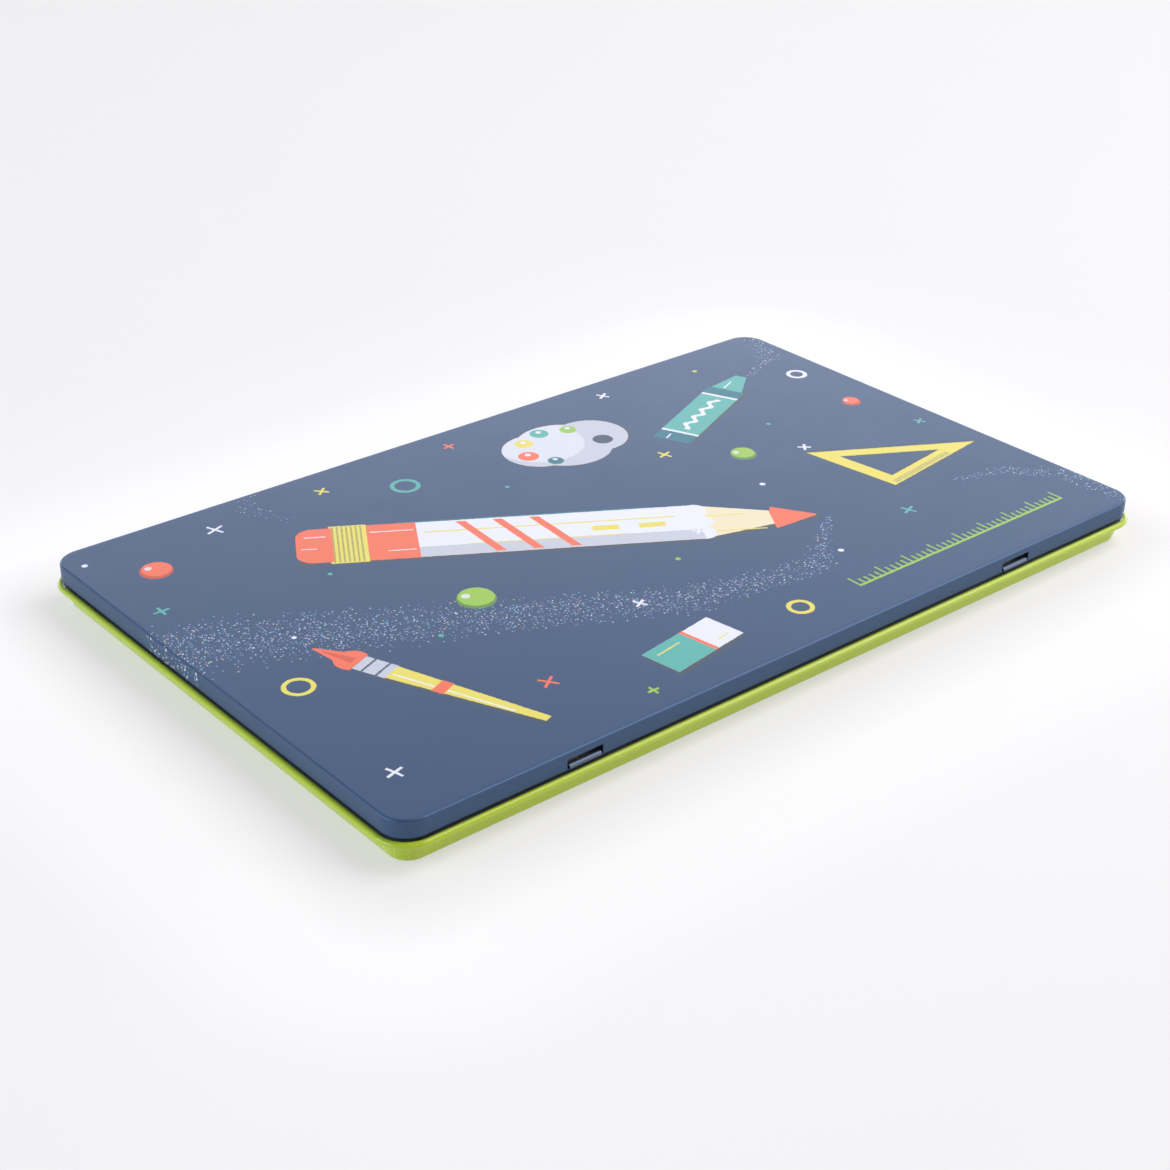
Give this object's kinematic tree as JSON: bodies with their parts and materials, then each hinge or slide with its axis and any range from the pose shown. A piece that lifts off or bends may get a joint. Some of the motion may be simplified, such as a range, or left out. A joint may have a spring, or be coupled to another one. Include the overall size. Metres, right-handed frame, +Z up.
{
  "type": "colored pencil tin",
  "caption": "Flat hinged tin of sheet metal with a rolled bead around the base, holding a single row of colored pencils in a grooved tray.",
  "frame": {"origin": "centre of the footprint, on the surface that the tin stands on", "axes": "+X along the long side, +Y towards the hinge, +Z up through the lid"},
  "size_m": [0.3032, 0.1902, 0.015],
  "materials": {
    "base_paint": "satin lime green enamel on tinplate",
    "lid_paint": "satin navy enamel with printed artwork on tinplate",
    "tray_plastic": "white thermoformed sheet",
    "lead": "waxy colored lead",
    "pencil_01_lacquer": "white lacquer on a cedar casing",
    "pencil_02_lacquer": "cream lacquer on a cedar casing",
    "pencil_03_lacquer": "lemon lacquer on a cedar casing",
    "pencil_04_lacquer": "yellow lacquer on a cedar casing",
    "pencil_05_lacquer": "golden yellow lacquer on a cedar casing",
    "pencil_06_lacquer": "orange lacquer on a cedar casing",
    "pencil_07_lacquer": "dark orange lacquer on a cedar casing",
    "pencil_08_lacquer": "peach lacquer on a cedar casing",
    "pencil_09_lacquer": "salmon lacquer on a cedar casing",
    "pencil_10_lacquer": "red lacquer on a cedar casing",
    "pencil_11_lacquer": "crimson lacquer on a cedar casing",
    "pencil_12_lacquer": "burgundy lacquer on a cedar casing",
    "pencil_13_lacquer": "light pink lacquer on a cedar casing",
    "pencil_14_lacquer": "pink lacquer on a cedar casing",
    "pencil_15_lacquer": "magenta lacquer on a cedar casing",
    "pencil_16_lacquer": "mauve lacquer on a cedar casing",
    "pencil_17_lacquer": "violet lacquer on a cedar casing",
    "pencil_18_lacquer": "dark violet lacquer on a cedar casing",
    "pencil_19_lacquer": "navy blue lacquer on a cedar casing",
    "pencil_20_lacquer": "ultramarine lacquer on a cedar casing",
    "pencil_21_lacquer": "blue lacquer on a cedar casing",
    "pencil_22_lacquer": "sky blue lacquer on a cedar casing",
    "pencil_23_lacquer": "turquoise lacquer on a cedar casing",
    "pencil_24_lacquer": "sea green lacquer on a cedar casing",
    "pencil_25_lacquer": "mint lacquer on a cedar casing",
    "pencil_26_lacquer": "lime lacquer on a cedar casing",
    "pencil_27_lacquer": "grass green lacquer on a cedar casing",
    "pencil_28_lacquer": "green lacquer on a cedar casing",
    "pencil_29_lacquer": "olive lacquer on a cedar casing",
    "pencil_30_lacquer": "ochre lacquer on a cedar casing",
    "pencil_31_lacquer": "tan lacquer on a cedar casing",
    "pencil_32_lacquer": "sienna lacquer on a cedar casing",
    "pencil_33_lacquer": "brown lacquer on a cedar casing",
    "pencil_34_lacquer": "dark brown lacquer on a cedar casing",
    "pencil_35_lacquer": "grey lacquer on a cedar casing",
    "pencil_36_lacquer": "black lacquer on a cedar casing"
  },
  "bodies": {
    "base": {"base_tin": "base_paint", "pencil_tray": "tray_plastic", "pencil_leads": "lead", "pencil_01": "pencil_01_lacquer", "pencil_02": "pencil_02_lacquer", "pencil_03": "pencil_03_lacquer", "pencil_04": "pencil_04_lacquer", "pencil_05": "pencil_05_lacquer", "pencil_06": "pencil_06_lacquer", "pencil_07": "pencil_07_lacquer", "pencil_08": "pencil_08_lacquer", "pencil_09": "pencil_09_lacquer", "pencil_10": "pencil_10_lacquer", "pencil_11": "pencil_11_lacquer", "pencil_12": "pencil_12_lacquer", "pencil_13": "pencil_13_lacquer", "pencil_14": "pencil_14_lacquer", "pencil_15": "pencil_15_lacquer", "pencil_16": "pencil_16_lacquer", "pencil_17": "pencil_17_lacquer", "pencil_18": "pencil_18_lacquer", "pencil_19": "pencil_19_lacquer", "pencil_20": "pencil_20_lacquer", "pencil_21": "pencil_21_lacquer", "pencil_22": "pencil_22_lacquer", "pencil_23": "pencil_23_lacquer", "pencil_24": "pencil_24_lacquer", "pencil_25": "pencil_25_lacquer", "pencil_26": "pencil_26_lacquer", "pencil_27": "pencil_27_lacquer", "pencil_28": "pencil_28_lacquer", "pencil_29": "pencil_29_lacquer", "pencil_30": "pencil_30_lacquer", "pencil_31": "pencil_31_lacquer", "pencil_32": "pencil_32_lacquer", "pencil_33": "pencil_33_lacquer", "pencil_34": "pencil_34_lacquer", "pencil_35": "pencil_35_lacquer", "pencil_36": "pencil_36_lacquer"},
    "lid": {"lid": "lid_paint"}
  },
  "joints": [
    {"name": "lid_hinge", "type": "hinge", "parent": "base", "child": "lid", "pos_m": [0, 0.09275, 0.00975], "axis": [-1, 0, 0], "range_deg": [0, 105]}
  ]
}
